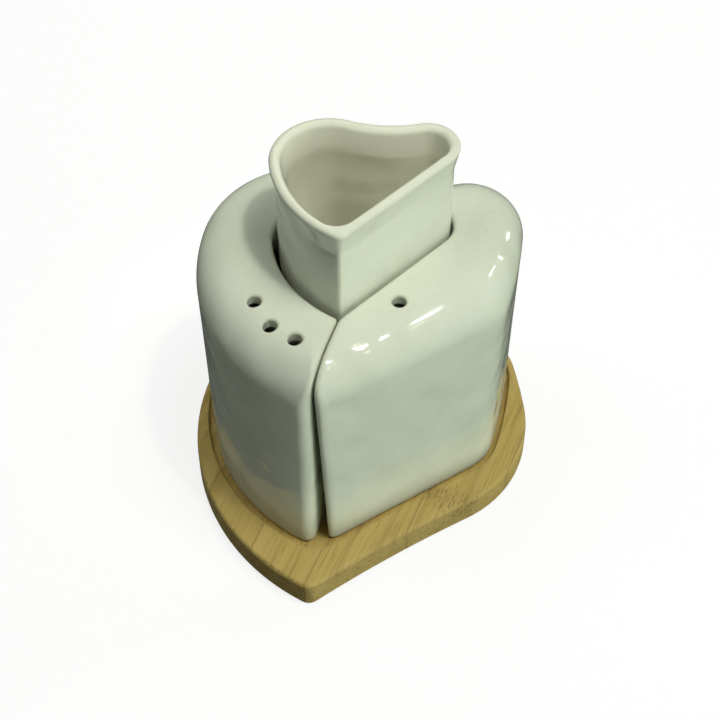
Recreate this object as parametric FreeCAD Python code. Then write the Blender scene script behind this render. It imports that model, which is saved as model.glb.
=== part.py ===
import FreeCAD, Part
import math
import os
from FreeCAD import Vector

# Salt and pepper set: two ceramic shakers shaped as the halves of a leaning heart, with a tall
# heart-shaped cup between them, all standing in the shallow recess of a heart-shaped bamboo tray.
# Millimetres. +Z is up, the heart's point faces -Y, and the origin is the centre of the tray's
# box, on the surface that the tray stands on.

# --- heights ---------------------------------------------------------------------------------
TRAY_THICK = 9.8
RECESS_DEPTH = 2.4
FLOOR_Z = TRAY_THICK - RECESS_DEPTH
SHAKER_TOP_Z = 89.8
CUP_TOP_Z = 122.4

# --- outlines --------------------------------------------------------------------------------
# Each outline is a loop of circles (x, y, radius), anticlockwise from the point of the heart.
# A bend joins each circle to the next: its radius is positive where the side bulges outwards,
# negative where it curves inwards and zero where it is straight.
TRAY_CIRCLES = ((-5.5, -52.5, 4.1), (13.7, 15.1, 40.7), (28.2, 36.2, 20.4), (-17.2, 19.4, 36.4))
TRAY_BENDS = (-456.0, 187.0, -20.0, 72.9)

HEART_TIP = (-6.0, -35.4, 4.6)
HEART_CORNER = (27.9, 10.9, 16.2)
HEART_RIGHT = (28.8, 36.3, 16.4)
HEART_LEFT = (-17.9, 19.2, 32.6)
RIGHT_SIDE_BEND = 0.0
SHOULDER_BEND = 145.0
NOTCH_BEND = -14.1
LEFT_SIDE_BEND = 61.1
HEART_CIRCLES = (HEART_TIP, HEART_CORNER, HEART_RIGHT, HEART_LEFT)
HEART_BENDS = (RIGHT_SIDE_BEND, SHOULDER_BEND, NOTCH_BEND, LEFT_SIDE_BEND)

CUP_CIRCLES = ((-2.3, -12.6, 1.2), (16.7, 25.9, 7.8), (-10.4, 15.4, 15.5))
CUP_BENDS = (0.0, -37.6, 37.9)

# --- tray ------------------------------------------------------------------------------------
RECESS_CLEARANCE = 1.5
RECESS_SHIFT = (-0.1, -0.9)
TRAY_TOP_ROUND = 1.4
TRAY_BOTTOM_ROUND = 1.0

# --- shakers ---------------------------------------------------------------------------------
SHAKER_FLARE = 1.0
SHAKER_ROUND = 13.2
SHAKER_WALL = 4.0
SHAKER_BASE = 5.0
SEAM_FRONT = (-5.6, -38.0)
SEAM_LEAN = 0.155
SEAM_GAP = 0.4
SALT_SEAM_DRAFT = 0.7
PEPPER_SEAM_DRAFT = 2.2
BACK_SEAM_X = 7.6
SEAM_SPLIT_Y = 6.0
CLOSING_REACH = 70.0
CUTTER_REACH = 200.0
HOLE_DIAMETER = 4.2
SALT_HOLES = ((-27.2, -13.3), (-20.8, -21.5), (-12.8, -25.3))
PEPPER_HOLES = ((14.0, -6.2),)

# --- filling holes and their stoppers --------------------------------------------------------
SALT_FILL = (-21.3, -18.4)
PEPPER_FILL = (29.0, 7.0)
BORE_RADIUS = 8.0
SEAT_RADIUS = 9.8
SEAT_DEPTH = 2.2
STOPPER_CLEARANCE = 0.08
FLANGE_RADIUS = 9.3
FLANGE_THICK = 1.6
PLUG_HEIGHT = 5.6
PLUG_HOLLOW_RADIUS = 5.4
PLUG_HOLLOW_DEPTH = 4.6
PLUG_LEAD = 0.6

# --- cup -------------------------------------------------------------------------------------
SOCKET_GAP = 1.2
SOCKET_SHIFT_X = -0.5
CUP_WALL = 3.2
CUP_BASE = 5.0
CUP_FLARE = 1.8
CUP_FLARE_HEIGHT = 9.0
CUP_RIM_ROUND = 1.5
CUP_FOOT_ROUND = 0.8
CUP_INNER_TIP_ROUND = 4.5


# --- outline geometry ------------------------------------------------------------------------
def point(centre, radius, angle):
    return Vector(centre.x + radius * math.cos(angle), centre.y + radius * math.sin(angle), 0)


def bearing(centre, target):
    return math.atan2(target.y - centre.y, target.x - centre.x)


def centre_of(circle):
    return Vector(circle[0], circle[1], 0)


def centre_at(a, distance_a, b, distance_b, side):
    """Point at the two given distances from a and b, left of a to b when side is positive."""
    span = a.distanceToPoint(b)
    along = ((distance_a - distance_b) * (distance_a + distance_b) + span * span) / (2 * span)
    across = math.sqrt(distance_a ** 2 - along ** 2)
    unit = (b - a) / span
    return a + unit * along + Vector(-unit.y, unit.x, 0) * across * side


def bend(circle_a, circle_b, radius, grow):
    """Start, middle and end of the bend that joins two circles, moved outwards by grow."""
    a, b = centre_of(circle_a), centre_of(circle_b)
    ra, rb = circle_a[2], circle_b[2]
    if radius == 0:
        tilt = math.asin((ra - rb) / a.distanceToPoint(b))
        normal = bearing(a, b) - math.pi / 2 + tilt
        start, end = point(a, ra + grow, normal), point(b, rb + grow, normal)
        return start, (start + end) / 2, end
    side = 1 if radius > 0 else -1
    turn = 0 if radius > 0 else math.pi
    centre = centre_at(a, abs(radius - ra), b, abs(radius - rb), side)
    start = point(a, ra + grow, bearing(centre, a) + turn)
    end = point(b, rb + grow, bearing(centre, b) + turn)
    middle = point(centre, centre.distanceToPoint(start), bearing(centre, (start + end) / 2))
    return start, middle, end


def bend_edge(circle_a, circle_b, radius, grow):
    start, middle, end = bend(circle_a, circle_b, radius, grow)
    if radius == 0:
        return Part.LineSegment(start, end).toShape()
    return Part.Arc(start, middle, end).toShape()


def lobe_edge(circle, start, end, grow):
    """Anticlockwise arc on a circle from start to end."""
    centre = centre_of(circle)
    first, last = bearing(centre, start), bearing(centre, end)
    if last < first:
        last += 2 * math.pi
    middle = point(centre, circle[2] + grow, (first + last) / 2)
    return Part.Arc(start, middle, end).toShape()


def outline(circles, radii, grow=0.0):
    """Closed anticlockwise wire round a loop of circles, moved outwards by grow."""
    count = len(circles)
    edges = []
    for i in range(count):
        before, here, after = circles[i - 1], circles[i], circles[(i + 1) % count]
        arrives = bend(before, here, radii[i - 1], grow)[2]
        leaves = bend(here, after, radii[i], grow)[0]
        edges.append(lobe_edge(here, arrives, leaves, grow))
        edges.append(bend_edge(here, after, radii[i], grow))
    return Part.Wire(edges)


# --- solid helpers ---------------------------------------------------------------------------
def lifted(shape, height):
    copy = shape.copy()
    copy.translate(Vector(0, 0, height))
    return copy


def prism(wire, low, high):
    return lifted(Part.Face(wire).extrude(Vector(0, 0, high - low)), low)


def tapered(low_wire, low, high_wire, high):
    return Part.makeLoft([lifted(low_wire, low), lifted(high_wire, high)], True, True)


def cylinder(centre, radius, low, high):
    return Part.makeCylinder(radius, high - low, Vector(centre[0], centre[1], low))


def edges_at(solid, height):
    """Edges that lie flat at one height."""
    near = 1e-3
    return [e for e in solid.Edges
            if abs(e.BoundBox.ZMin - height) < near and abs(e.BoundBox.ZMax - height) < near]


# --- tray ------------------------------------------------------------------------------------
def bamboo_tray():
    slab = prism(outline(TRAY_CIRCLES, TRAY_BENDS), 0, TRAY_THICK)
    slab = slab.makeFillet(TRAY_TOP_ROUND, edges_at(slab, TRAY_THICK))
    slab = slab.makeFillet(TRAY_BOTTOM_ROUND, edges_at(slab, 0))
    recess = prism(outline(HEART_CIRCLES, HEART_BENDS, RECESS_CLEARANCE), FLOOR_Z, TRAY_THICK + 1)
    recess.translate(Vector(RECESS_SHIFT[0], RECESS_SHIFT[1], 0))
    return slab.cut(recess).Solids[0]


# --- shakers ---------------------------------------------------------------------------------
def salt_wall(grow):
    """Outer wall of the left half, anticlockwise, run on straight past the point of the heart."""
    side = bend(HEART_LEFT, HEART_TIP, LEFT_SIDE_BEND, grow)
    notch = bend(HEART_RIGHT, HEART_LEFT, NOTCH_BEND, grow)
    heading = (side[2] - centre_of(HEART_TIP)).cross(Vector(0, 0, -1))
    front = side[2] + heading * (CLOSING_REACH - side[2].x) / heading.x
    wall = [bend_edge(HEART_RIGHT, HEART_LEFT, NOTCH_BEND, grow),
            lobe_edge(HEART_LEFT, notch[2], side[0], grow),
            bend_edge(HEART_LEFT, HEART_TIP, LEFT_SIDE_BEND, grow),
            Part.LineSegment(side[2], front).toShape()]
    return wall, front, notch[0]


def pepper_wall(grow):
    """Outer wall of the right half, anticlockwise, run on straight past the point of the heart."""
    side = bend(HEART_TIP, HEART_CORNER, RIGHT_SIDE_BEND, grow)
    shoulder = bend(HEART_CORNER, HEART_RIGHT, SHOULDER_BEND, grow)
    notch = bend(HEART_RIGHT, HEART_LEFT, NOTCH_BEND, grow)
    heading = side[0] - side[2]
    front = side[0] + heading * (-CLOSING_REACH - side[0].x) / heading.x
    wall = [Part.LineSegment(front, side[2]).toShape(),
            lobe_edge(HEART_CORNER, side[2], shoulder[0], grow),
            bend_edge(HEART_CORNER, HEART_RIGHT, SHOULDER_BEND, grow),
            lobe_edge(HEART_RIGHT, shoulder[2], notch[0], grow),
            bend_edge(HEART_RIGHT, HEART_LEFT, NOTCH_BEND, grow)]
    return wall, front, notch[2]


def closed_wall(wall, front, back, far_x):
    front_far, back_far = Vector(far_x, front.y, 0), Vector(far_x, back.y, 0)
    corners = [front, front_far, back_far, back]
    lines = [Part.LineSegment(p, q).toShape() for p, q in zip(corners, corners[1:])
             if p.distanceToPoint(q) > 1e-3]
    return Part.Wire(Part.__sortEdges__(wall + lines))


def domed(make_wall, far_x, low, high, inset, rounding):
    """Solid inside one outer wall, flared upwards, with its top edge softly rounded."""
    wires = []
    for height in (low, high):
        flare = SHAKER_FLARE * (height - FLOOR_Z) / (SHAKER_TOP_Z - FLOOR_Z)
        wall, front, back = make_wall(flare - inset)
        wires.append(closed_wall(wall, front, back, far_x))
    solid = tapered(wires[0], low, wires[1], high)
    middles = [lifted(Part.Vertex(e.valueAt((e.FirstParameter + e.LastParameter) / 2)), high)
               for e in wall]
    rim = [e for e in edges_at(solid, high)
           if any(e.distToShape(m)[0] < 1e-3 for m in middles)]
    return solid.makeFillet(rounding, rim)


def seam_cutter(side, draft, margin):
    """Everything beyond the seam from one half. side is -1 for the left half, 1 for the right."""
    offset = side * (SEAM_GAP / 2 + margin)
    low, high = FLOOR_Z - 1, SHAKER_TOP_Z + 1
    slope = side * draft / (SHAKER_TOP_Z - FLOOR_Z)
    start_x = SEAM_FRONT[0] + offset - SEAM_LEAN * (CUTTER_REACH + SEAM_FRONT[1])
    low_x = start_x + slope * (SHAKER_TOP_Z - low)
    high_x = start_x + slope * (SHAKER_TOP_Z - high)
    far_x = -side * CUTTER_REACH
    corners = [Vector(x, -CUTTER_REACH, z)
               for x, z in ((low_x, low), (high_x, high), (far_x, high), (far_x, low), (low_x, low))]
    length = CUTTER_REACH + SEAM_SPLIT_Y
    front = Part.Face(Part.makePolygon(corners)).extrude(Vector(SEAM_LEAN * length, length, 0))
    xs = sorted((BACK_SEAM_X + offset, far_x))
    back = Part.makeBox(xs[1] - xs[0], CUTTER_REACH, high - low, Vector(xs[0], SEAM_SPLIT_Y, low))
    return [front, back]


def half(side, make_wall, draft, margin):
    """One half of the heart, moved inwards by margin on every face."""
    low = FLOOR_Z + (SHAKER_BASE if margin else 0)
    high = SHAKER_TOP_Z - margin
    body = domed(make_wall, -side * CLOSING_REACH, low, high, margin, SHAKER_ROUND - margin)
    socket = prism(outline(CUP_CIRCLES, CUP_BENDS, SOCKET_GAP + margin),
                   FLOOR_Z - 1, SHAKER_TOP_Z + 1)
    socket.translate(Vector(SOCKET_SHIFT_X, 0, 0))
    return body.cut([socket] + seam_cutter(side, draft, margin)).Solids[0]


def shaker(side, make_wall, draft, holes, fill):
    tools = [half(side, make_wall, draft, SHAKER_WALL),
             cylinder(fill, BORE_RADIUS, FLOOR_Z - 1, FLOOR_Z + SHAKER_BASE + 1),
             cylinder(fill, SEAT_RADIUS, FLOOR_Z - 1, FLOOR_Z + SEAT_DEPTH)]
    for hole in holes:
        tools.append(cylinder(hole, HOLE_DIAMETER / 2, SHAKER_TOP_Z - SHAKER_ROUND, SHAKER_TOP_Z + 1))
    return half(side, make_wall, draft, 0).cut(tools).Solids[0]


def salt_shaker():
    return shaker(-1, salt_wall, SALT_SEAM_DRAFT, SALT_HOLES, SALT_FILL)


def pepper_shaker():
    return shaker(1, pepper_wall, PEPPER_SEAM_DRAFT, PEPPER_HOLES, PEPPER_FILL)


def stopper(fill):
    flange_z = FLOOR_Z + SEAT_DEPTH - FLANGE_THICK
    seat_z = FLOOR_Z + SEAT_DEPTH
    flange = cylinder(fill, FLANGE_RADIUS, flange_z, seat_z)
    plug = cylinder(fill, BORE_RADIUS - STOPPER_CLEARANCE, seat_z, seat_z + PLUG_HEIGHT)
    plug = plug.makeChamfer(PLUG_LEAD, edges_at(plug, seat_z + PLUG_HEIGHT))
    top = seat_z + PLUG_HEIGHT
    hollow = cylinder(fill, PLUG_HOLLOW_RADIUS, top - PLUG_HOLLOW_DEPTH, top + 1)
    return flange.fuse(plug).cut(hollow).removeSplitter().Solids[0]


# --- cup -------------------------------------------------------------------------------------
def cup_outline(grow):
    return outline(CUP_CIRCLES, CUP_BENDS, grow)


def cup_hollow():
    """Space inside the cup, with the narrow corner at its point rounded."""
    flare_z = CUP_TOP_Z - CUP_FLARE_HEIGHT
    narrow = cup_outline(0).makeOffset2D(-CUP_WALL)
    wide = cup_outline(0).makeOffset2D(CUP_FLARE - CUP_WALL)
    straight = prism(narrow, FLOOR_Z + CUP_BASE, flare_z)
    mouth = tapered(narrow, flare_z, wide, CUP_TOP_Z)
    hollow = straight.fuse(mouth).removeSplitter()
    front = hollow.BoundBox.YMin
    corner = [e for e in hollow.Edges
              if e.BoundBox.ZLength > 1 and e.BoundBox.YMax < front + 2 * CUP_INNER_TIP_ROUND]
    return hollow.makeFillet(CUP_INNER_TIP_ROUND, corner)


def toothpick_cup():
    flare_z = CUP_TOP_Z - CUP_FLARE_HEIGHT
    lower = prism(cup_outline(0), FLOOR_Z, flare_z)
    lower = lower.makeFillet(CUP_FOOT_ROUND, edges_at(lower, FLOOR_Z))
    lip = tapered(cup_outline(0), flare_z, cup_outline(CUP_FLARE), CUP_TOP_Z)
    cup = lower.fuse(lip).removeSplitter().cut(cup_hollow())
    cup = cup.makeFillet(CUP_RIM_ROUND, edges_at(cup, CUP_TOP_Z))
    return cup.Solids[0]


def main():
    os.makedirs("parts", exist_ok=True)
    pieces = {
        "bamboo_tray": bamboo_tray(),
        "salt_shaker": salt_shaker(),
        "pepper_shaker": pepper_shaker(),
        "toothpick_cup": toothpick_cup(),
        "salt_stopper": stopper(SALT_FILL),
        "pepper_stopper": stopper(PEPPER_FILL),
    }
    for name, solid in pieces.items():
        solid.exportStep(os.path.join("parts", name + ".step"))


main()
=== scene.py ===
import math

import bpy
import numpy as np
from mathutils import Matrix, Vector


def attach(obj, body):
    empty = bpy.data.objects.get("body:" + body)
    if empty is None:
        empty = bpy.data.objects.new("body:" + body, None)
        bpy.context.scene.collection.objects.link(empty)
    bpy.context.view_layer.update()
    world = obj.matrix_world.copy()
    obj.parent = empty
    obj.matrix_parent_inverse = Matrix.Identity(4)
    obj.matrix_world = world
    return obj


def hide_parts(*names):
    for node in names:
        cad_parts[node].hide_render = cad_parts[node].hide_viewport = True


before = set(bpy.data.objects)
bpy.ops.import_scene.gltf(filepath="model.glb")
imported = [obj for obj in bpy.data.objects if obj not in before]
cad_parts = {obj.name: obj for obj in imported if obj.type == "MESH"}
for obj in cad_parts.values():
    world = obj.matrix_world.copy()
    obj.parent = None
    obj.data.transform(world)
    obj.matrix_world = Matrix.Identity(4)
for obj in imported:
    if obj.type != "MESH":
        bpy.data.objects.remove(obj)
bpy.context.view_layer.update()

# The set's own sizes are in millimetres, as in the part, until a mesh is made. Materials, the camera
# and the lights are in metres.
MM = 0.001
FLOOR_Z = 7.4
TRAY_THICK = 9.8
SHAKER_TOP = 89.8
CUP_TOP = 122.4

TRAY_CIRCLES = ((-5.5, -52.5, 4.1), (13.7, 15.1, 40.7), (28.2, 36.2, 20.4), (-17.2, 19.4, 36.4))
TRAY_BENDS = (-456.0, 187.0, -20.0, 72.9)
HEART_CIRCLES = ((-6.0, -35.4, 4.6), (27.9, 10.9, 16.2), (28.8, 36.3, 16.4), (-17.9, 19.2, 32.6))
HEART_BENDS = (0.0, 145.0, -14.1, 61.1)
CUP_CIRCLES = ((-2.3, -12.6, 1.2), (16.7, 25.9, 7.8), (-10.4, 15.4, 15.5))
CUP_BENDS = (0.0, -37.6, 37.9)
RECESS_SHIFT = (-0.1, -0.9)
RECESS_CLEARANCE = 1.5
TRAY_FOOT_ROUND = 1.0
TRAY_TOP_ROUND = 1.4
RECESS_LIP_ROUND = 0.6
RECESS_FLOOR_ROUND = 0.5

SHAKER_FLARE = 1.0
SHAKER_FLARE_POWER = 1.6
DOME_ROUND = 13.2
FOOT_ROUND = 1.3
SEAM_ROUND = 4.0
SEAM_ROUND_LOSS = 2.6
SEAM_ROUND_DEPTH = 14.0
SEAM_ROUND_SPAN = 12.0
SOCKET_ROUND = 1.5
CHAMBER_ROUND = 1.0
WALL = 4.0
BASE = 5.0
SEAM_FRONT = (-5.6, -38.0)
SEAM_LEAN = 0.155
SEAM_HALF_GAP = 0.2
BACK_SEAM_X = 7.6
SEAM_SPLIT_Y = 6.0
SALT_DRAFT = 0.7
PEPPER_DRAFT = 2.2
HOLE_RADIUS = 2.1
HOLE_ROUND = 0.8
HOLE_DEPTH = 12.0
SALT_HOLES = ((-27.2, -13.3), (-20.8, -21.5), (-12.8, -25.3))
PEPPER_HOLES = ((14.0, -6.2),)
SALT_FILL = (-21.3, -18.4)
PEPPER_FILL = (29.0, 7.0)
BORE_RADIUS = 8.0
SEAT_RADIUS = 9.8
SEAT_DEPTH = 2.2
BORE_ROUND = 0.4
FINE_ROUND = 0.3
SOCKET_GAP = 1.2
SOCKET_SHIFT = -0.5

CUP_WALL = 3.2
CUP_FLARE = 1.8
CUP_FLARE_HEIGHT = 9.0
CUP_FLARE_POWER = 1.2
CUP_LIP_ROUND = 1.55
CUP_FOOT_ROUND = 0.9
CUP_FLOOR_ROUND = 3.0
CUP_INNER_TIP = 4.5


# --- outlines ---------------------------------------------------------------------------------
FAR = 1e9


def bend_centre(a, b, radius):
    """Centre of the arc that joins circles a and b, each (x, y, radius)."""
    pa, pb = np.array(a[:2]), np.array(b[:2])
    da, db = abs(radius - a[2]), abs(radius - b[2])
    span = np.linalg.norm(pb - pa)
    along = ((da - db) * (da + db) + span ** 2) / (2 * span)
    across = math.sqrt(da ** 2 - along ** 2) * (1 if radius > 0 else -1)
    unit = (pb - pa) / span
    return pa + unit * along + np.array((-unit[1], unit[0])) * across


def toward(start, end):
    step = np.array(end) - np.array(start)
    return step / np.linalg.norm(step)


def bend_ends(a, b, radius):
    """Where the bend between circles a and b leaves a and meets b."""
    pa, pb = np.array(a[:2]), np.array(b[:2])
    if radius == 0:
        angle = math.atan2(pb[1] - pa[1], pb[0] - pa[0]) - math.pi / 2
        angle += math.asin((a[2] - b[2]) / np.linalg.norm(pb - pa))
        normal = np.array((math.cos(angle), math.sin(angle)))
        return pa + normal * a[2], pb + normal * b[2]
    centre = bend_centre(a, b, radius)
    sign = 1 if radius > 0 else -1
    return pa + toward(centre, pa) * a[2] * sign, pb + toward(centre, pb) * b[2] * sign


def outline(circles, bends):
    """Closed outline as pieces: ("arc", centre, radius, outward sign, first angle, span) or
    ("line", start, end), anticlockwise."""
    count = len(circles)
    pieces = []
    for i in range(count):
        here, after = circles[i], circles[(i + 1) % count]
        arrives = bend_ends(circles[i - 1], here, bends[i - 1])[1]
        leaves, meets = bend_ends(here, after, bends[i])
        pieces.append(arc_piece(np.array(here[:2]), here[2], 1, arrives, leaves))
        if bends[i] == 0:
            pieces.append(("line", leaves, meets))
        elif bends[i] > 0:
            pieces.append(arc_piece(bend_centre(here, after, bends[i]), bends[i], 1, leaves, meets))
        else:
            pieces.append(arc_piece(bend_centre(here, after, bends[i]), -bends[i], -1, meets, leaves))
    return pieces


def arc_piece(centre, radius, sign, start, end):
    first = math.atan2(*(start - centre)[::-1])
    span = (math.atan2(*(end - centre)[::-1]) - first) % (2 * math.pi)
    return ("arc", centre, radius, sign, first, span)


def distance(pieces, x, y):
    """Signed distance to an outline, negative inside."""
    best = np.full(x.shape, FAR)
    for piece in pieces:
        if piece[0] == "line":
            d = line_distance(piece, x, y)
        else:
            d = arc_distance(piece, x, y)
        best = np.where(np.abs(d) < np.abs(best), d, best)
    return best


def line_distance(piece, x, y):
    start, end = piece[1], piece[2]
    unit = toward(start, end)
    length = np.linalg.norm(end - start)
    rx, ry = x - start[0], y - start[1]
    along = np.clip(rx * unit[0] + ry * unit[1], 0, length)
    side = rx * unit[1] - ry * unit[0]
    gap = np.hypot(rx - along * unit[0], ry - along * unit[1])
    return np.where(side < 0, -gap, gap)


def arc_distance(piece, x, y):
    _, centre, radius, sign, first, span = piece
    rx, ry = x - centre[0], y - centre[1]
    turn = (np.arctan2(ry, rx) - first) % (2 * math.pi)
    inner = sign * (np.hypot(rx, ry) - radius)
    result = np.full(x.shape, FAR)
    for angle in (first, first + span):
        nx, ny = math.cos(angle), math.sin(angle)
        ex, ey = rx - radius * nx, ry - radius * ny
        gap = np.hypot(ex, ey)
        d = np.where(sign * (ex * nx + ey * ny) < 0, -gap, gap)
        result = np.where(np.abs(d) < np.abs(result), d, result)
    return np.where(turn <= span, inner, result)


TRAY = outline(TRAY_CIRCLES, TRAY_BENDS)
HEART = outline(HEART_CIRCLES, HEART_BENDS)
CUP = outline(CUP_CIRCLES, CUP_BENDS)


def rounder_tip(circles, bends, radius):
    """The same outline with its first circle replaced by a larger one that touches both sides."""
    left, right = circles[-1], circles[1]
    centre = bend_centre(left, circles[0], bends[-1])
    start, end = bend_ends(circles[0], right, 0.0)
    unit = toward(start, end)
    normal = np.array((unit[1], -unit[0]))
    reach = bends[-1] - radius
    foot = start - normal * radius - centre
    half = foot @ unit
    along = -half - math.sqrt(half ** 2 - foot @ foot + reach ** 2)
    tip = centre + foot + unit * along
    return outline(((tip[0], tip[1], radius),) + circles[1:], bends)


CUP_INSIDE = rounder_tip(CUP_CIRCLES, CUP_BENDS, CUP_WALL + CUP_INNER_TIP)


# --- solids as signed distances ---------------------------------------------------------------
def both(a, b, radius):
    """Overlap of two solids, its edge rounded."""
    u, v = np.maximum(a + radius, 0), np.maximum(b + radius, 0)
    return np.minimum(np.maximum(a, b), -radius) + np.hypot(u, v)


def less(a, b, radius):
    """Solid a without solid b, its edge rounded."""
    return both(a, -b, radius)


def blend_step(t):
    t = np.clip(t, 0, 1)
    return t * t * (3 - 2 * t)


def shaker_solid(side, draft, holes, fill):
    """Signed distance of one half of the heart. side is -1 for the left half, 1 for the right."""
    def half(x, y, z, margin):
        wall = distance(HEART, x, y)
        rise = np.clip((z - FLOOR_Z) / (SHAKER_TOP - FLOOR_Z), 0, 1)
        wall = wall - SHAKER_FLARE * rise ** SHAKER_FLARE_POWER + margin
        body = both(wall, z - SHAKER_TOP + margin, DOME_ROUND - margin)
        front = SEAM_FRONT[0] + SEAM_LEAN * (y - SEAM_FRONT[1])
        front = front + side * (SEAM_HALF_GAP + draft * (SHAKER_TOP - z) / (SHAKER_TOP - FLOOR_Z))
        seam = np.where(y < SEAM_SPLIT_Y, front, BACK_SEAM_X + side * SEAM_HALF_GAP)
        near_top = blend_step((z - SHAKER_TOP + SEAM_ROUND_DEPTH) / SEAM_ROUND_SPAN)
        corner = SEAM_ROUND - SEAM_ROUND_LOSS * near_top
        body = both(body, side * (seam - x) + margin, corner)
        socket = distance(CUP, x - SOCKET_SHIFT, y) - SOCKET_GAP - margin
        return less(body, socket, SOCKET_ROUND)

    def solid(x, y, z):
        body = both(half(x, y, z, 0.0), FLOOR_Z - z, FOOT_ROUND)
        chamber = both(half(x, y, z, WALL), FLOOR_Z + BASE - z, CHAMBER_ROUND)
        body = less(body, chamber, FINE_ROUND)
        for cx, cy in holes:
            r = np.hypot(x - cx, y - cy)
            body = less(body, np.maximum(r - HOLE_RADIUS, SHAKER_TOP - HOLE_DEPTH - z), HOLE_ROUND)
        r = np.hypot(x - fill[0], y - fill[1])
        body = less(body, np.maximum(r - BORE_RADIUS, z - FLOOR_Z - BASE - 1), BORE_ROUND)
        return less(body, np.maximum(r - SEAT_RADIUS, z - FLOOR_Z - SEAT_DEPTH), FINE_ROUND)
    return solid


def cup_solid(x, y, z):
    rise = np.clip((z - CUP_TOP + CUP_FLARE_HEIGHT) / CUP_FLARE_HEIGHT, 0, 1)
    flare = CUP_FLARE * rise ** CUP_FLARE_POWER
    outside = distance(CUP, x, y) - flare
    inside = distance(CUP_INSIDE, x, y) + CUP_WALL - flare
    hollow = both(inside, FLOOR_Z + BASE - z, CUP_FLOOR_ROUND)
    body = both(np.maximum(outside, -hollow), z - CUP_TOP, CUP_LIP_ROUND)
    return both(body, FLOOR_Z - z, CUP_FOOT_ROUND)


# --- meshing ----------------------------------------------------------------------------------
def steps(*runs):
    """Grid positions from (start, end, spacing) runs that follow each other."""
    parts = [np.linspace(a, b, max(2, int(round((b - a) / s)) + 1))[:-1] for a, b, s in runs]
    return np.concatenate(parts + [np.array([runs[-1][1]])])


NUDGES = 4
NUDGE_REACH = 0.6
LEAST_SLOPE = 0.3


def surface(solid, xs, ys, zs):
    """Vertices, quads, normals and sharpness of the surface where a signed distance is zero."""
    grid = np.meshgrid(xs, ys, zs, indexing="ij")
    value = solid(*grid)
    inside = value < 0
    shape = tuple(n - 1 for n in value.shape)
    total = np.zeros(shape + (3,))
    hits = np.zeros(shape)
    for axis in range(3):
        low = [slice(None)] * 3
        high = [slice(None)] * 3
        low[axis], high[axis] = slice(0, -1), slice(1, None)
        low, high = tuple(low), tuple(high)
        crossed = inside[low] != inside[high]
        span = np.where(crossed, value[low] - value[high], 1.0)
        share = np.where(crossed, value[low] / span, 0.0)
        place = [g[low] + (g[high] - g[low]) * share for g in grid]
        others = [a for a in range(3) if a != axis]
        for i in (0, 1):
            for j in (0, 1):
                pick = [slice(None)] * 3
                pick[others[0]] = slice(i, i + shape[others[0]])
                pick[others[1]] = slice(j, j + shape[others[1]])
                pick = tuple(pick)
                hits += crossed[pick]
                for a in range(3):
                    total[..., a] += np.where(crossed[pick], place[a][pick], 0.0)
    used = hits > 0
    number = np.full(shape, -1)
    number[used] = np.arange(used.sum())
    points = total[used] / hits[used][:, None]
    faces = np.concatenate([crossing_quads(inside, number, axis) for axis in range(3)])
    cell = NUDGE_REACH * min(np.diff(a).min() for a in (xs, ys, zs))
    for _ in range(NUDGES):
        normals, slope = gradient(solid, points)
        move = solid(*points.T) / np.maximum(slope, LEAST_SLOPE)
        points = points - normals * np.clip(move, -cell, cell)[:, None]
    normals, _ = gradient(solid, points)
    return points, faces, normals, sharpness(solid, points)


def crossing_quads(inside, number, axis):
    """One quad round each grid edge along axis that the surface crosses."""
    low = [slice(1, -1)] * 3
    high = [slice(1, -1)] * 3
    low[axis], high[axis] = slice(0, -1), slice(1, None)
    a, b = inside[tuple(low)], inside[tuple(high)]
    index = np.argwhere(a != b)
    falling = a[a != b]
    offset = np.ones(3, int)
    offset[axis] = 0
    index = index + offset
    u, v = [k for k in range(3) if k != axis]
    corners = []
    for du, dv in ((-1, -1), (0, -1), (0, 0), (-1, 0)):
        cell = index.copy()
        cell[:, u] += du
        cell[:, v] += dv
        corners.append(number[cell[:, 0], cell[:, 1], cell[:, 2]])
    quads = np.stack(corners, axis=1)
    flip = falling if axis == 1 else ~falling
    quads[flip] = quads[flip][:, ::-1]
    return quads


def gradient(solid, points, step=0.03):
    """Unit normals of a signed distance, and its slope along them."""
    out = np.zeros_like(points)
    for a in range(3):
        shift = np.zeros(3)
        shift[a] = step
        out[:, a] = (solid(*(points + shift).T) - solid(*(points - shift).T)) / (2 * step)
    slope = np.linalg.norm(out, axis=1)
    return out / np.maximum(slope, 1e-9)[:, None], slope


def sharpness(solid, points, step=0.3):
    """How tightly the surface bends, per millimetre: positive on ridges, negative in hollows."""
    total = -6 * solid(*points.T)
    for a in range(3):
        shift = np.zeros(3)
        shift[a] = step
        total += solid(*(points + shift).T) + solid(*(points - shift).T)
    return np.clip(total / step ** 2, -2, 2)


def mesh_object(name, points, faces, normals, ridge, material):
    mesh = bpy.data.meshes.new(name)
    mesh.from_pydata((points * MM).tolist(), [], faces.tolist())
    mesh.polygons.foreach_set("use_smooth", [True] * len(mesh.polygons))
    mesh.validate()
    mesh.normals_split_custom_set_from_vertices(normals.tolist())
    mesh.attributes.new("ridge", "FLOAT", "POINT").data.foreach_set("value", ridge)
    mesh.materials.append(material)
    obj = bpy.data.objects.new(name, mesh)
    bpy.context.scene.collection.objects.link(obj)
    return obj


def stand_in(obj, node, body):
    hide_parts(node)
    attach(obj, body)


# --- tray mesh --------------------------------------------------------------------------------
RING_POINTS = 900
RING_ANGLES = np.linspace(0, 2 * math.pi, RING_POINTS, endpoint=False)
RING_CENTRE = (0.0, 6.0)
RING_REACH = 90.0
HALVINGS = 40
FLAT_SHARES = (0.25, 0.5, 0.75)


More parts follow.
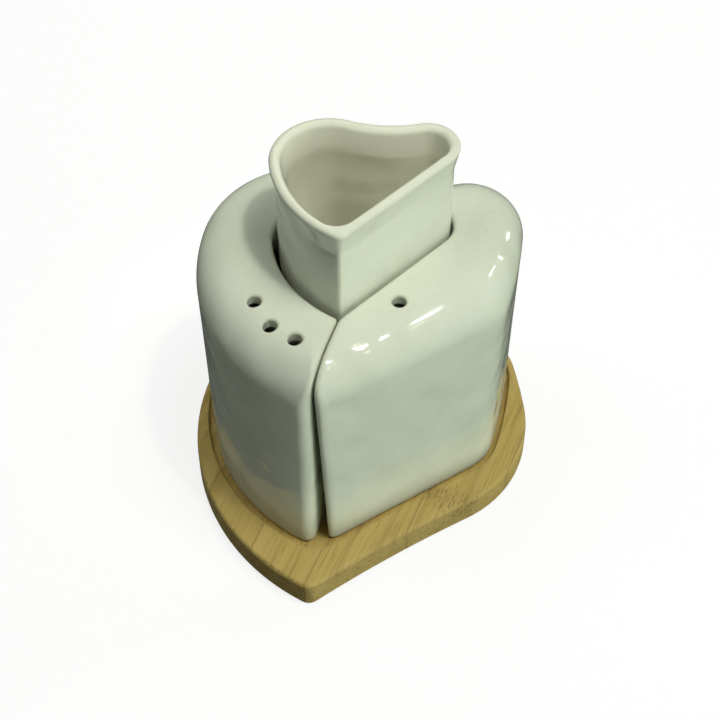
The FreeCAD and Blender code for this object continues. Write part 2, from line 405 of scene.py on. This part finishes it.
def ring(pieces, grow, z, shift=(0.0, 0.0)):
    """Points where rays from the middle meet the outline moved outwards by grow."""
    cos, sin = np.cos(RING_ANGLES), np.sin(RING_ANGLES)
    near, far = np.zeros(RING_POINTS), np.full(RING_POINTS, RING_REACH)
    for _ in range(HALVINGS):
        r = (near + far) / 2
        x, y = RING_CENTRE[0] + r * cos, RING_CENTRE[1] + r * sin
        d = distance(pieces, x - shift[0], y - shift[1])
        near, far = np.where(d < grow, r, near), np.where(d < grow, far, r)
    return np.stack([x, y, np.full(RING_POINTS, z)], axis=1)


def quarter(radius, count):
    """(inset, drop) pairs of a rounded edge, from the wall to the flat."""
    angles = np.linspace(0, math.pi / 2, count)
    return [(radius * (1 - math.cos(a)), radius * (1 - math.sin(a))) for a in angles]


def tray_rings():
    """Rings from the edge of the underside, over the rim and down to the recess's floor."""
    rings = []
    for inset, drop in reversed(quarter(TRAY_FOOT_ROUND, 6)):
        rings.append(ring(TRAY, -inset, drop))
    for inset, drop in quarter(TRAY_TOP_ROUND, 8):
        rings.append(ring(TRAY, -inset, TRAY_THICK - drop))
    for inset, drop in reversed(quarter(RECESS_LIP_ROUND, 6)):
        rings.append(ring(HEART, RECESS_CLEARANCE + inset, TRAY_THICK - drop, RECESS_SHIFT))
    for inset, drop in quarter(RECESS_FLOOR_ROUND, 5):
        rings.append(ring(HEART, RECESS_CLEARANCE - inset, FLOOR_Z + drop, RECESS_SHIFT))
    return rings


def shrunk(points, share, centre, z):
    """A ring drawn in towards the centre, at height z."""
    flat = points * share + centre * (1 - share)
    flat[:, 2] = z
    return flat


def tray_mesh(material):
    rings = tray_rings()
    count = RING_POINTS
    centre = np.array([RING_CENTRE[0], RING_CENTRE[1], 0.0])
    under = [shrunk(rings[0], share, centre, 0.0) for share in FLAT_SHARES]
    inner = [shrunk(rings[-1], share, centre, FLOOR_Z) for share in reversed(FLAT_SHARES)]
    rings = under + rings + inner
    middles = np.array([[centre[0], centre[1], 0.0], [centre[0], centre[1], FLOOR_Z]])
    points = np.concatenate([*rings, middles])
    faces = []
    for k in range(len(rings) - 1):
        a = k * count + np.arange(count)
        b = k * count + (np.arange(count) + 1) % count
        faces += np.stack([a, b, b + count, a + count], axis=1).tolist()
    bottom, top = len(rings) * count, len(rings) * count + 1
    last = (len(rings) - 1) * count
    for i in range(count):
        j = (i + 1) % count
        faces.append([bottom, j, i])
        faces.append([top, last + i, last + j])
    mesh = bpy.data.meshes.new("bamboo_board")
    mesh.from_pydata((points * MM).tolist(), [], faces)
    mesh.polygons.foreach_set("use_smooth", [True] * len(mesh.polygons))
    mesh.materials.append(material)
    obj = bpy.data.objects.new("bamboo_board", mesh)
    bpy.context.scene.collection.objects.link(obj)
    return obj


# --- materials --------------------------------------------------------------------------------
class Nodes:
    """Short way to build a node tree."""

    def __init__(self, name):
        self.material = bpy.data.materials.new(name)
        self.material.use_nodes = True
        self.tree = self.material.node_tree
        self.tree.nodes.clear()
        self.out = self.tree.nodes.new("ShaderNodeOutputMaterial")

    def add(self, kind, inputs=None, **settings):
        node = self.tree.nodes.new("ShaderNode" + kind)
        for key, value in settings.items():
            setattr(node, key, value)
        for key, value in (inputs or {}).items():
            if isinstance(value, bpy.types.NodeSocket):
                self.tree.links.new(value, node.inputs[key])
            else:
                node.inputs[key].default_value = value
        return node

    def ramp(self, fac, stops):
        node = self.add("ValToRGB", {"Fac": fac})
        while len(node.color_ramp.elements) < len(stops):
            node.color_ramp.elements.new(0.5)
        for element, (place, colour) in zip(node.color_ramp.elements, stops):
            element.position = place
            element.color = (*colour, 1)
        return node.outputs["Color"]

    def finish(self, shader):
        self.tree.links.new(shader.outputs[0], self.out.inputs["Surface"])
        return self.material


def axis_parts(n, vector):
    parts = n.add("SeparateXYZ", {"Vector": vector})
    return parts.outputs["X"], parts.outputs["Y"], parts.outputs["Z"]


def maths(n, operation, a, b=0.0, c=0.0):
    return n.add("Math", {0: a, 1: b, 2: c}, operation=operation).outputs[0]


def spread(n, value, low, high, to_low=0.0, to_high=1.0):
    """Value rescaled and held between two ends."""
    return n.add("MapRange", {"Value": value, "From Min": low, "From Max": high,
                              "To Min": to_low, "To Max": to_high}).outputs[0]


def blended(n, factor, a, b):
    """Colour a, going over to colour b as the factor rises."""
    node = n.add("Mix", {"Factor": factor}, data_type="RGBA", blend_type="MIX")
    for socket, value in ((node.inputs[6], a), (node.inputs[7], b)):
        if isinstance(value, bpy.types.NodeSocket):
            n.tree.links.new(value, socket)
        else:
            socket.default_value = (*value, 1)
    return node.outputs[2]


def glaze_material(name, painted_inner_light=0.0):
    """Glossy ivory glaze: cloudy colour, slow waves in the surface, fine orange peel and small dark
    pits, thinner on sharp edges and bare on the foot. The last argument sets how much whiter it gets
    on walls that face the axis: painted light, standing in for light falling into the cup."""
    n = Nodes(name)
    place = n.add("TexCoord").outputs["Object"]
    cloud = n.add("TexNoise", {"Vector": place, "Scale": 28.0, "Detail": 4.0, "Roughness": 0.6})
    wave = n.add("TexNoise", {"Vector": place, "Scale": 70.0, "Detail": 1.0})
    peel = n.add("TexNoise", {"Vector": place, "Scale": 1400.0, "Detail": 2.0})
    grit = n.add("TexNoise", {"Vector": place, "Scale": 420.0, "Detail": 3.0})
    pits = n.add("TexVoronoi", {"Vector": place, "Scale": 60.0, "Randomness": 1.0})
    ridge = n.add("Attribute", attribute_name="ridge").outputs["Fac"]
    height = axis_parts(n, place)[2]

    colour = n.ramp(cloud.outputs["Fac"], [(0.30, (0.725, 0.75, 0.615)), (0.55, (0.765, 0.785, 0.665)),
                                           (0.75, (0.79, 0.805, 0.70))])
    warm = spread(n, grit.outputs["Fac"], 0.56, 0.70, 0.0, 0.10)
    colour = blended(n, warm, colour, (0.56, 0.53, 0.40))
    thin = spread(n, ridge, 0.25, 1.0, 0.0, 0.22)
    colour = blended(n, thin, colour, (0.60, 0.56, 0.42))
    pooled = spread(n, ridge, -0.15, -0.7, 0.0, 0.25)
    colour = blended(n, pooled, colour, (0.52, 0.57, 0.43))
    chance = axis_parts(n, pits.outputs["Color"])[0]
    near = spread(n, pits.outputs["Distance"], 0.012, 0.026, 1.0, 0.0)
    speck = maths(n, "MULTIPLY", near, maths(n, "GREATER_THAN", chance, 0.965))
    colour = blended(n, maths(n, "MULTIPLY", speck, 0.85), colour, (0.09, 0.075, 0.05))

    # Painted light: walls that face the axis (the inside of the cup) are whitened to stand in for
    # light falling in.
    facing = n.add("NewGeometry").outputs["Normal"]
    outward = n.add("VectorMath", {0: place, 1: facing}, operation="DOT_PRODUCT").outputs["Value"]
    rise = maths(n, "MULTIPLY", height, axis_parts(n, facing)[2])
    painted_inner_light_mask = spread(n, maths(n, "SUBTRACT", outward, rise), -0.004, 0.0, painted_inner_light, 0.0)
    colour = blended(n, painted_inner_light_mask, colour, (0.87, 0.86, 0.72))

    bare_line = maths(n, "ADD", height, spread(n, wave.outputs["Fac"], 0.3, 0.7, -0.00035, 0.00035))
    bare = spread(n, bare_line, 0.0079, 0.0083, 1.0, 0.0)
    clay = blended(n, peel.outputs["Fac"], (0.60, 0.53, 0.41), (0.74, 0.68, 0.55))
    colour = blended(n, bare, colour, clay)

    rough = spread(n, peel.outputs["Fac"], 0.3, 0.7, 0.045, 0.085)
    rough = maths(n, "ADD", rough, spread(n, cloud.outputs["Fac"], 0.55, 0.75, 0.0, 0.05))
    rough = maths(n, "ADD", rough, maths(n, "MULTIPLY", bare, 0.65))
    slow = n.add("Bump", {"Height": wave.outputs["Fac"], "Strength": 1.0, "Distance": 0.0012})
    fine = n.add("Bump", {"Height": peel.outputs["Fac"], "Strength": 0.12, "Distance": 0.00008,
                          "Normal": slow.outputs[0]})
    hole = n.add("Bump", {"Height": speck, "Strength": 0.8, "Distance": 0.0002,
                          "Normal": fine.outputs[0]}, invert=True)
    shader = n.add("BsdfPrincipled", {
        "Base Color": colour, "Roughness": rough, "Normal": hole.outputs[0], "IOR": 1.5})
    return n.finish(shader)


GRAIN_TURN = math.radians(-78.0)
STRIP_WIDTH = 0.0215


def bamboo_material():
    """Strips of lacquered bamboo side by side: fibres along each strip, a node here and there,
    dark pores on the ends and darker sides."""
    n = Nodes("bamboo")
    texture = n.add("TexCoord")
    turned = n.add("Mapping", {"Vector": texture.outputs["Object"], "Rotation": (0, 0, GRAIN_TURN)})
    facing = n.add("Mapping", {"Vector": texture.outputs["Normal"], "Rotation": (0, 0, GRAIN_TURN)})
    along, across, height = axis_parts(n, turned.outputs[0])
    end_facing, _, up_facing = axis_parts(n, facing.outputs[0])

    drift = n.add("TexNoise", {"Vector": turned.outputs[0], "Scale": 14.0, "Detail": 1.0})
    wander = spread(n, drift.outputs["Fac"], 0.3, 0.7, -0.0009, 0.0009)
    spot = maths(n, "ADD", maths(n, "ADD", across, wander), 0.0062)
    strip = maths(n, "DIVIDE", spot, STRIP_WIDTH)
    number = maths(n, "FLOOR", strip)
    inside = maths(n, "FRACT", strip)
    seam = maths(n, "ABSOLUTE", maths(n, "SUBTRACT", inside, 0.5))
    seam = spread(n, seam, 0.478, 0.5, 0.0, 1.0)
    luck = n.add("TexWhiteNoise", {"W": maths(n, "ADD", number, 31.0)}, noise_dimensions="1D")
    tone = luck.outputs["Value"]

    shifted = n.add("CombineXYZ", {"X": maths(n, "ADD", along, tone), "Y": spot, "Z": height})
    fibre = n.add("TexNoise", {"Vector": n.add("Mapping", {
        "Vector": shifted.outputs[0], "Scale": (55.0, 1500.0, 700.0)}).outputs[0],
        "Scale": 1.0, "Detail": 4.0, "Roughness": 0.65})
    streak = n.add("TexNoise", {"Vector": n.add("Mapping", {
        "Vector": shifted.outputs[0], "Scale": (16.0, 330.0, 160.0)}).outputs[0],
        "Scale": 1.0, "Detail": 3.0})
    patch = n.add("TexNoise", {"Vector": shifted.outputs[0], "Scale": 45.0, "Detail": 3.0})

    colour = n.ramp(streak.outputs["Fac"], [(0.34, (0.51, 0.34, 0.10)), (0.5, (0.66, 0.455, 0.14)),
                                            (0.68, (0.74, 0.53, 0.18))])
    shade = spread(n, fibre.outputs["Fac"], 0.40, 0.62, 0.0, 1.0)
    colour = blended(n, maths(n, "MULTIPLY", shade, 0.55), colour, (0.73, 0.54, 0.19))
    dark = spread(n, fibre.outputs["Fac"], 0.44, 0.33, 0.0, 0.55)
    colour = blended(n, dark, colour, (0.34, 0.215, 0.065))
    colour = blended(n, spread(n, tone, 0.0, 1.0, 0.0, 0.22), colour, (0.46, 0.315, 0.095))
    colour = blended(n, spread(n, patch.outputs["Fac"], 0.5, 0.75, 0.0, 0.35), colour,
                     (0.74, 0.555, 0.205))

    node_at = spread(n, tone, 0.0, 1.0, -0.085, 0.075)
    from_node = maths(n, "ABSOLUTE", maths(n, "SUBTRACT", along, node_at))
    ragged = maths(n, "ADD", from_node, spread(n, patch.outputs["Fac"], 0.3, 0.7, -0.0022, 0.0022))
    node = spread(n, ragged, 0.0018, 0.0048, 1.0, 0.0)
    dashes = n.add("TexNoise", {"Vector": n.add("Mapping", {
        "Vector": shifted.outputs[0], "Scale": (420.0, 1700.0, 900.0)}).outputs[0],
        "Scale": 1.0, "Detail": 2.0})
    pore = maths(n, "MULTIPLY", spread(n, dashes.outputs["Fac"], 0.54, 0.64, 0.0, 1.0),
                 spread(n, ragged, 0.003, 0.008, 1.0, 0.0))
    colour = blended(n, maths(n, "MULTIPLY", node, 0.22), colour, (0.36, 0.215, 0.075))
    colour = blended(n, maths(n, "MULTIPLY", pore, 0.6), colour, (0.20, 0.105, 0.03))
    colour = blended(n, maths(n, "MULTIPLY", seam, 0.45), colour, (0.24, 0.145, 0.05))

    end = spread(n, maths(n, "ABSOLUTE", end_facing), 0.25, 0.75, 0.0, 1.0)
    cells = n.add("TexVoronoi", {"Vector": n.add("Mapping", {
        "Vector": turned.outputs[0], "Scale": (150.0, 1300.0, 1050.0)}).outputs[0], "Scale": 1.0})
    bundle = spread(n, cells.outputs["Distance"], 0.18, 0.42, 1.0, 0.0)
    colour = blended(n, maths(n, "MULTIPLY", end, 0.35), colour, (0.41, 0.285, 0.10))
    colour = blended(n, maths(n, "MULTIPLY", maths(n, "MULTIPLY", bundle, end), 0.55), colour,
                     (0.20, 0.115, 0.035))
    side = spread(n, maths(n, "ABSOLUTE", up_facing), 0.25, 0.85, 1.0, 0.0)
    colour = blended(n, maths(n, "MULTIPLY", side, 0.18), colour, (0.30, 0.20, 0.075))

    rough = spread(n, fibre.outputs["Fac"], 0.35, 0.65, 0.50, 0.36)
    rough = maths(n, "ADD", rough, maths(n, "MULTIPLY", end, 0.16))
    grooves = n.add("Bump", {"Height": fibre.outputs["Fac"], "Strength": 0.45, "Distance": 0.00018})
    pits = n.add("Bump", {"Height": maths(n, "ADD", maths(n, "ADD", pore, seam),
                                          maths(n, "MULTIPLY", bundle, end)),
                          "Strength": 0.5, "Distance": 0.00025, "Normal": grooves.outputs[0]},
                 invert=True)
    shader = n.add("BsdfPrincipled", {
        "Base Color": colour, "Roughness": rough, "Normal": pits.outputs[0], "IOR": 1.45})
    return n.finish(shader)


def silicone_material():
    """Milky silicone with a faint moulded grain and flecks of dust."""
    n = Nodes("silicone")
    place = n.add("TexCoord").outputs["Object"]
    fine = n.add("TexNoise", {"Vector": place, "Scale": 900.0, "Detail": 3.0})
    milk = n.add("TexNoise", {"Vector": place, "Scale": 120.0, "Detail": 3.0})
    dust = n.add("TexVoronoi", {"Vector": place, "Scale": 700.0})
    colour = n.ramp(milk.outputs["Fac"], [(0.3, (0.56, 0.56, 0.51)), (0.7, (0.68, 0.68, 0.63))])
    fleck = spread(n, dust.outputs["Distance"], 0.10, 0.2, 0.35, 0.0)
    colour = blended(n, fleck, colour, (0.40, 0.38, 0.33))
    rough = spread(n, fine.outputs["Fac"], 0.3, 0.7, 0.42, 0.66)
    bump = n.add("Bump", {"Height": fine.outputs["Fac"], "Strength": 0.35, "Distance": 0.0002})
    shader = n.add("BsdfPrincipled", {
        "Base Color": colour, "Roughness": rough, "Normal": bump.outputs[0], "IOR": 1.41,
        "Subsurface Weight": 0.25, "Subsurface Scale": 0.002})
    return n.finish(shader)


def floor_material():
    n = Nodes("pale_floor")
    place = n.add("TexCoord").outputs["Object"]
    tooth = n.add("TexNoise", {"Vector": place, "Scale": 260.0, "Detail": 3.0})
    colour = n.ramp(tooth.outputs["Fac"], [(0.3, (0.30, 0.30, 0.30)), (0.7, (0.31, 0.31, 0.31))])
    shader = n.add("BsdfPrincipled", {
        "Base Color": colour, "Roughness": 0.9, "Specular IOR Level": 0.1,
        "Emission Color": (1, 1, 1, 1), "Emission Strength": 0.80})
    return n.finish(shader)


# --- the set ----------------------------------------------------------------------------------
GLAZE = glaze_material("ivory_glaze")
CUP_GLAZE = glaze_material("cup_glaze", painted_inner_light=0.9)
BAMBOO = bamboo_material()
SILICONE = silicone_material()


SHAKER_LEVELS = ((6.6, 14.0, 0.6), (14.0, 72.0, 3.0), (72.0, 84.0, 0.8), (84.0, 90.6, 0.5))


def build_salt():
    solid = shaker_solid(-1, SALT_DRAFT, SALT_HOLES, SALT_FILL)
    xs = steps((-52.6, -30.0, 0.8), (-30.0, -10.0, 0.5), (-10.0, 8.6, 0.7))
    ys = steps((-42.0, -28.0, 0.7), (-28.0, -10.5, 0.5), (-10.5, 54.0, 0.8))
    mesh_parts = surface(solid, xs, ys, steps(*SHAKER_LEVELS))
    stand_in(mesh_object("salt_shaker_glazed", *mesh_parts, GLAZE), "salt_shaker", "salt")


def build_pepper():
    solid = shaker_solid(1, PEPPER_DRAFT, PEPPER_HOLES, PEPPER_FILL)
    xs = steps((-5.2, 10.0, 0.7), (10.0, 18.0, 0.5), (18.0, 47.4, 0.8))
    ys = steps((-42.0, -10.5, 0.7), (-10.5, -2.0, 0.5), (-2.0, 54.8, 0.8))
    mesh_parts = surface(solid, xs, ys, steps(*SHAKER_LEVELS))
    obj = mesh_object("pepper_shaker_glazed", *mesh_parts, GLAZE)
    stand_in(obj, "pepper_shaker", "pepper")


def build_cup():
    xs = steps((-28.0, 28.4, 0.55))
    ys = steps((-16.6, 36.6, 0.55))
    zs = steps((6.6, 18.0, 0.7), (18.0, 108.0, 3.0), (108.0, 118.0, 0.8), (118.0, 123.2, 0.4))
    obj = mesh_object("toothpick_cup_glazed", *surface(cup_solid, xs, ys, zs), CUP_GLAZE)
    stand_in(obj, "toothpick_cup", "cup")


def build_tray():
    obj = tray_mesh(BAMBOO)
    stand_in(obj, "bamboo_tray", "tray")


def finish_stoppers():
    for node in ("salt_stopper", "pepper_stopper"):
        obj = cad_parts[node]
        obj.data.materials.clear()
        obj.data.materials.append(SILICONE)


FLOOR_PROFILE = ((1.2, 0.0), (2.6, 0.0), (3.0, 0.1), (3.3, 0.4), (3.4, 0.8), (3.4, 4.0))
FLOOR_SIDES = 96


def build_floor():
    """A pale floor that curves up into a round backdrop."""
    points = [(0.0, 0.0, 0.0)]
    faces = []
    for radius, height in FLOOR_PROFILE:
        for k in range(FLOOR_SIDES):
            angle = 2 * math.pi * k / FLOOR_SIDES
            points.append((radius * math.cos(angle), radius * math.sin(angle), height))
    for k in range(FLOOR_SIDES):
        after = (k + 1) % FLOOR_SIDES
        faces.append((0, 1 + k, 1 + after))
        for ring_number in range(len(FLOOR_PROFILE) - 1):
            low_ring = 1 + ring_number * FLOOR_SIDES
            high_ring = low_ring + FLOOR_SIDES
            faces.append((low_ring + k, high_ring + k, high_ring + after, low_ring + after))
    mesh = bpy.data.meshes.new("floor")
    mesh.from_pydata(points, [], faces)
    mesh.materials.append(floor_material())
    floor = bpy.data.objects.new("floor", mesh)
    bpy.context.scene.collection.objects.link(floor)
    floor.visible_diffuse = False
    floor.visible_glossy = False
    floor.visible_shadow = False


def aim(obj, target):
    obj.rotation_mode = "QUATERNION"
    obj.rotation_quaternion = (Vector(target) - obj.location).to_track_quat("-Z", "Y")


CAMERA_AZIMUTH = math.radians(10.0)
CAMERA_ELEVATION = math.radians(50.0)
CAMERA_REACH = 0.5202
CAMERA_TARGET = Vector((-0.0008, 0.0128, 0.038))


def build_camera():
    level = math.cos(CAMERA_ELEVATION)
    back = Vector((math.sin(CAMERA_AZIMUTH) * level, -math.cos(CAMERA_AZIMUTH) * level,
                   math.sin(CAMERA_ELEVATION)))
    camera = bpy.data.objects.new("camera", bpy.data.cameras.new("camera"))
    camera.data.lens = 81.04
    camera.data.sensor_width = 36.0
    camera.location = CAMERA_TARGET + back * CAMERA_REACH
    aim(camera, CAMERA_TARGET)
    bpy.context.scene.collection.objects.link(camera)
    bpy.context.scene.camera = camera


def area_light(name, place, target, size, power, colour=(1, 1, 1)):
    light = bpy.data.lights.new(name, "AREA")
    light.shape = "RECTANGLE"
    light.size, light.size_y = size
    light.energy = power
    light.color = colour
    obj = bpy.data.objects.new(name, light)
    obj.location = place
    aim(obj, target)
    bpy.context.scene.collection.objects.link(obj)
    return obj


LIGHT_CENTRE = Vector((0, 0, 0.07))
PANE_ALONG = Vector((0.74, 0.67, 0.0))
PANE_REACH = 1.3

# Name, place from LIGHT_CENTRE, size, power and colour.
SOFT_LIGHTS = (
    ("overhead", (0.34, -0.10, 1.05), (0.38, 0.38), 4.4, (0.91, 0.995, 0.90)),
    ("overhead_left", (-0.50, 0.10, 0.98), (0.6, 0.6), 2.6, (0.96, 1.0, 0.92)),
    ("side", (1.05, -0.52, 0.12), (0.6, 0.5), 2.6, (0.89, 1.0, 0.88)),
    ("bounce_right", (0.92, -0.60, -0.42), (0.9, 0.9), 5.6, (0.89, 1.0, 0.87)),
    ("back_fill", (-0.35, 1.15, 0.12), (0.8, 0.8), 4.0, (0.95, 1.0, 0.92)),
    ("bounce_left", (-1.0, 0.02, -0.30), (0.7, 0.7), 1.2, (0.92, 1.0, 0.88)))

# Name, direction from LIGHT_CENTRE, width, height and power.
WINDOW_PANES = (
    ("pane_main", (0.578, -0.080, 0.812), 0.050, 0.16, 0.9),
    ("pane_low", (0.688, -0.212, 0.694), 0.035, 0.05, 0.10),
    ("pane_high", (0.511, 0.029, 0.859), 0.020, 0.06, 0.10),
    ("pane_rim", (0.340, 0.420, 0.840), 0.050, 0.06, 0.12))


def window_pane(name, way, width, height, power):
    """A small bright window seen in the gloss, lying in the given direction from the set."""
    way = Vector(way).normalized()
    across = (PANE_ALONG - way * PANE_ALONG.dot(way)).normalized()
    obj = area_light(name, LIGHT_CENTRE + way * PANE_REACH, LIGHT_CENTRE, (width, height), power)
    obj.rotation_quaternion = Matrix((across, way.cross(across), way)).transposed().to_quaternion()


def build_cup_lamp():
    """A narrow beam into the cup."""
    lamp = bpy.data.lights.new("cup_lamp", "SPOT")
    lamp.energy = 17.0
    lamp.spot_size = math.radians(6.5)
    lamp.spot_blend = 0.7
    lamp.shadow_soft_size = 0.05
    lamp.color = (1.0, 0.97, 0.88)
    obj = bpy.data.objects.new("cup_lamp", lamp)
    obj.location = (0.26, -0.12, 0.90)
    aim(obj, (0.0, 0.012, 0.105))
    obj.visible_glossy = False
    bpy.context.scene.collection.objects.link(obj)


def build_world():
    world = bpy.data.worlds.new("studio")
    bpy.context.scene.world = world
    world.use_nodes = True
    background = world.node_tree.nodes["Background"]
    background.inputs["Color"].default_value = (0.9, 1.0, 0.92, 1)
    background.inputs["Strength"].default_value = 0.05
    bpy.context.scene.view_settings.view_transform = "Standard"


def build_light():
    for name, place, size, power, colour in SOFT_LIGHTS:
        light = area_light(name, LIGHT_CENTRE + Vector(place), LIGHT_CENTRE, size, power, colour)
        light.visible_glossy = False
    for pane in WINDOW_PANES:
        window_pane(*pane)
    area_light("back_window", LIGHT_CENTRE + Vector((0.98, 0.81, 0.38)), LIGHT_CENTRE,
               (0.06, 0.42), 1.2)
    build_cup_lamp()
    build_world()


build_tray()
build_salt()
build_pepper()
build_cup()
finish_stoppers()
build_floor()
build_camera()
build_light()
